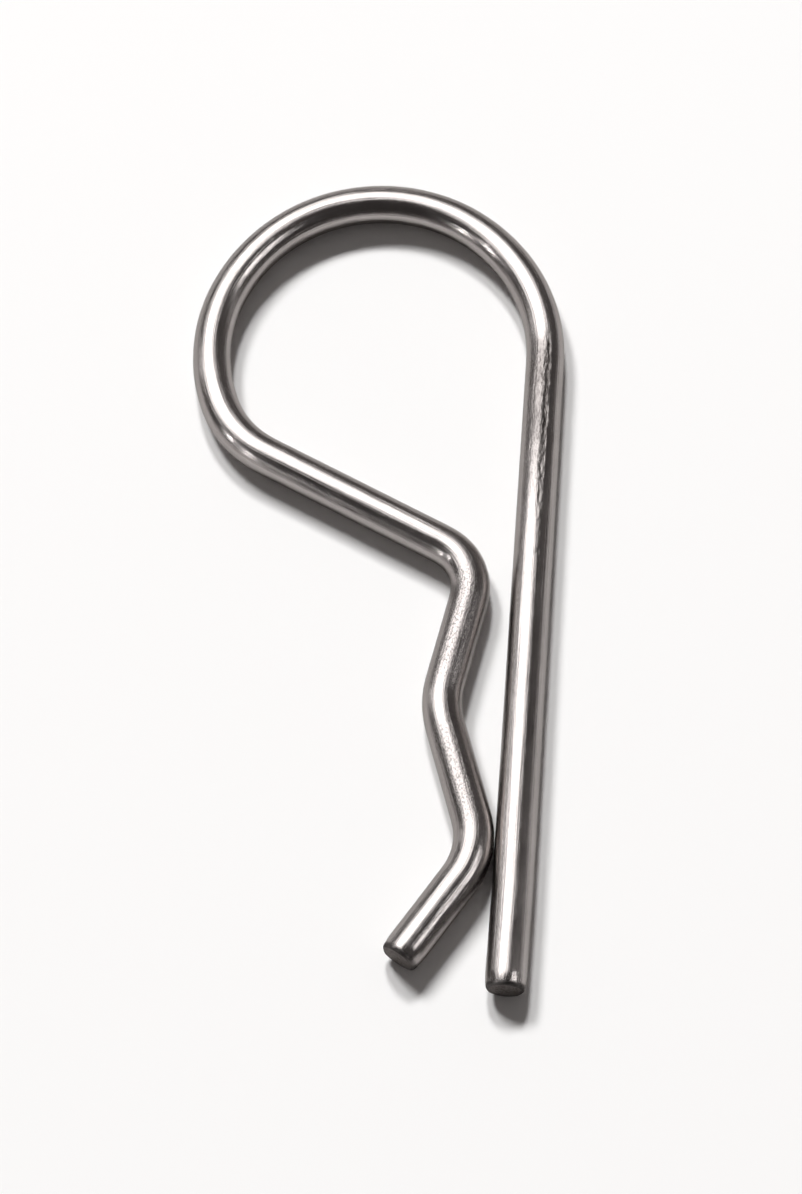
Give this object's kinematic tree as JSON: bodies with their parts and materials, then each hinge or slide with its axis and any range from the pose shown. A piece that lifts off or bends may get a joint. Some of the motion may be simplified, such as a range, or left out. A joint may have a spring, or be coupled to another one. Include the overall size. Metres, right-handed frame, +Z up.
{
  "type": "spring locking pin",
  "caption": "R-shaped spring pin bent from round steel wire, with a straight leg, an open pull loop and a waved arm that snaps over a cross-drilled shaft.",
  "frame": {"origin": "middle of the pin's footprint, on the surface that it lies on", "axes": "+Y along the straight leg, from its free tip to the loop; +X from the spring arm to the straight leg; +Z up, square to the plane that the wire is bent in"},
  "size_m": [0.0398, 0.0884, 0.004],
  "materials": {
    "spring_wire": "bright drawn spring wire, smooth and glossy, with fine drawing lines, small pits and duller rubbed patches"
  },
  "bodies": {
    "root": {"locking_pin": "spring_wire"}
  },
  "joints": []
}
